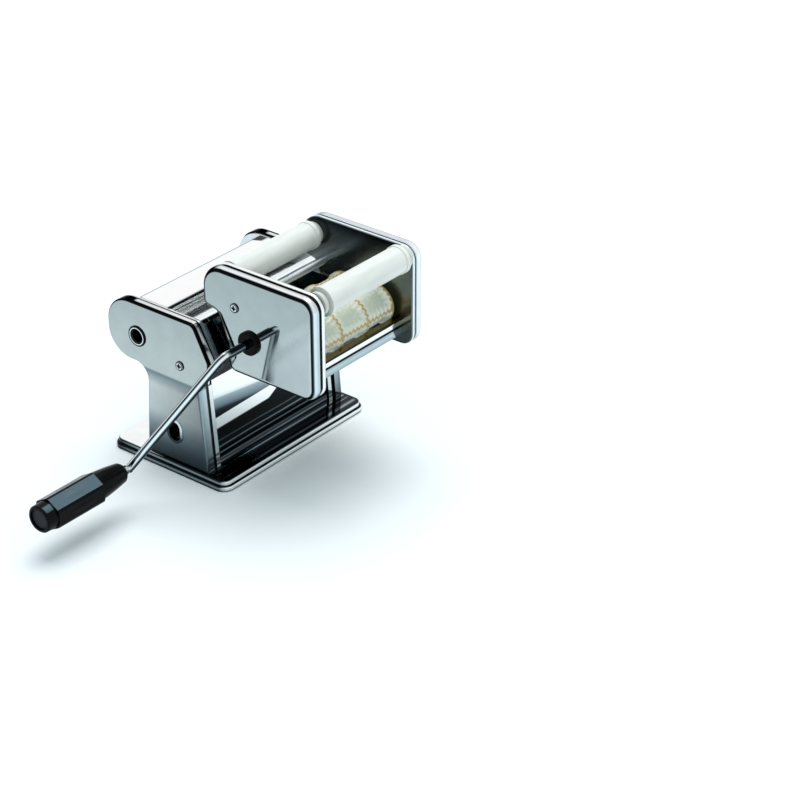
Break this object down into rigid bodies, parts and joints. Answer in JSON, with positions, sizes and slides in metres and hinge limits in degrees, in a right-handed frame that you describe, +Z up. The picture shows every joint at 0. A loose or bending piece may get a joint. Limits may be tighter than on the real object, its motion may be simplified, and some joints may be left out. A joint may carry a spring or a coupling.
{
  "type": "hand cranked ravioli maker",
  "caption": "Hand cranked pasta machine on a flat base, with a ravioli attachment hooked to its slanted front and a bent crank in the attachment's side.",
  "frame": {"origin": "centre of the base's underside, on the surface that the machine stands on", "axes": "+X along the rollers, away from the crank; -Y towards the ravioli attachment; +Z up"},
  "size_m": [0.3799, 0.2278, 0.2093],
  "materials": {
    "polished_chrome": "polished",
    "dark_steel": "satin",
    "plain_steel": "satin",
    "mould_grey": "satin",
    "black_nylon": "matte",
    "white_plastic": "semi-matte",
    "black_gloss": "gloss",
    "rubber": "matte"
  },
  "bodies": {
    "machine": {"base_plate": "polished_chrome", "base_screws": "plain_steel", "rubber_feet": "rubber", "near_side_cover": "polished_chrome", "far_side_cover": "polished_chrome", "near_frame_plate": "dark_steel", "far_frame_plate": "dark_steel", "clamp_hole_bush": "polished_chrome", "socket_bush": "polished_chrome", "top_cover": "polished_chrome", "mount_panel": "dark_steel", "front_panel": "polished_chrome", "fixed_roller_scraper": "black_nylon", "movable_roller_scraper": "black_nylon", "tie_rods": "plain_steel", "cover_screws": "plain_steel", "regulator_dial": "black_nylon", "near_rail": "dark_steel", "far_rail": "dark_steel"},
    "fixed_roller": {"fixed_roller": "plain_steel", "fixed_roller_gear": "plain_steel"},
    "roller_carriage": {"movable_bearing_blocks": "plain_steel"},
    "movable_roller": {"movable_roller": "plain_steel", "movable_roller_gear": "plain_steel"},
    "regulator": {"regulator_knob": "black_gloss"},
    "attachment": {"near_casing": "polished_chrome", "far_casing": "polished_chrome", "near_bearing_plate": "black_nylon", "far_bearing_plate": "black_nylon", "near_end_plate": "polished_chrome", "far_end_plate": "polished_chrome", "casing_screws": "plain_steel", "attachment_rod": "plain_steel", "guide_pins": "plain_steel", "front_strip": "polished_chrome", "front_stripper": "black_nylon", "rear_stripper": "black_nylon", "slide_plate": "dark_steel", "crank_collar": "black_nylon"},
    "rear_mould": {"rear_mould_roller": "mould_grey", "rear_mould_gear": "plain_steel"},
    "front_mould": {"front_mould_roller": "mould_grey", "front_mould_gear": "plain_steel"},
    "crank": {"crank_rod": "polished_chrome", "crank_ferrule": "polished_chrome"},
    "grip": {"handle_grip": "black_gloss", "handle_end_cap": "black_gloss"},
    "front_guide": {"front_guide_roller": "white_plastic"},
    "rear_guide": {"rear_guide_roller": "white_plastic"}
  },
  "joints": [
    {"name": "fixed_roller_spin", "type": "hinge", "parent": "machine", "child": "fixed_roller", "pos_m": [0, 0.0334, 0.122], "axis": [1, 0, 0], "continuous": true},
    {"name": "gap_slide", "type": "slide", "parent": "machine", "child": "roller_carriage", "axis": [0, 1, 0], "range_m": [0, 0.0024]},
    {"name": "movable_roller_spin", "type": "hinge", "parent": "roller_carriage", "child": "movable_roller", "pos_m": [0, 0.0024, 0.122], "axis": [1, 0, 0], "continuous": true},
    {"name": "regulator_turn", "type": "hinge", "parent": "machine", "child": "regulator", "pos_m": [0.093, 0.0036, 0.122], "axis": [1, 0, 0], "range_deg": [0, 240]},
    {"name": "attachment_slide", "type": "slide", "parent": "machine", "child": "attachment", "axis": [0, 0.458, 0.889], "range_m": [0, 0.045]},
    {"name": "crank_turn", "type": "hinge", "parent": "attachment", "child": "rear_mould", "pos_m": [0, -0.0823, 0.1455], "axis": [1, 0, 0], "continuous": true},
    {"name": "front_mould_turn", "type": "hinge", "parent": "attachment", "child": "front_mould", "pos_m": [0, -0.1199, 0.1455], "axis": [1, 0, 0], "continuous": true},
    {"name": "crank_pull", "type": "slide", "parent": "rear_mould", "child": "crank", "axis": [-1, 0, 0], "range_m": [0, 0.03]},
    {"name": "grip_spin", "type": "hinge", "parent": "crank", "child": "grip", "pos_m": [-0.22, -0.01762, 0.03912], "axis": [1, 0, 0], "continuous": true},
    {"name": "front_guide_spin", "type": "hinge", "parent": "attachment", "child": "front_guide", "pos_m": [0, -0.145, 0.196], "axis": [1, 0, 0], "continuous": true},
    {"name": "rear_guide_spin", "type": "hinge", "parent": "attachment", "child": "rear_guide", "pos_m": [0, -0.0435, 0.189], "axis": [1, 0, 0], "continuous": true}
  ],
  "couplings": [
    {"joint": "movable_roller_spin", "follows": "fixed_roller_spin", "ratio": -1},
    {"joint": "regulator_turn", "follows": "gap_slide", "rad_per_m": 1745.3},
    {"joint": "front_mould_turn", "follows": "crank_turn", "ratio": -1}
  ]
}
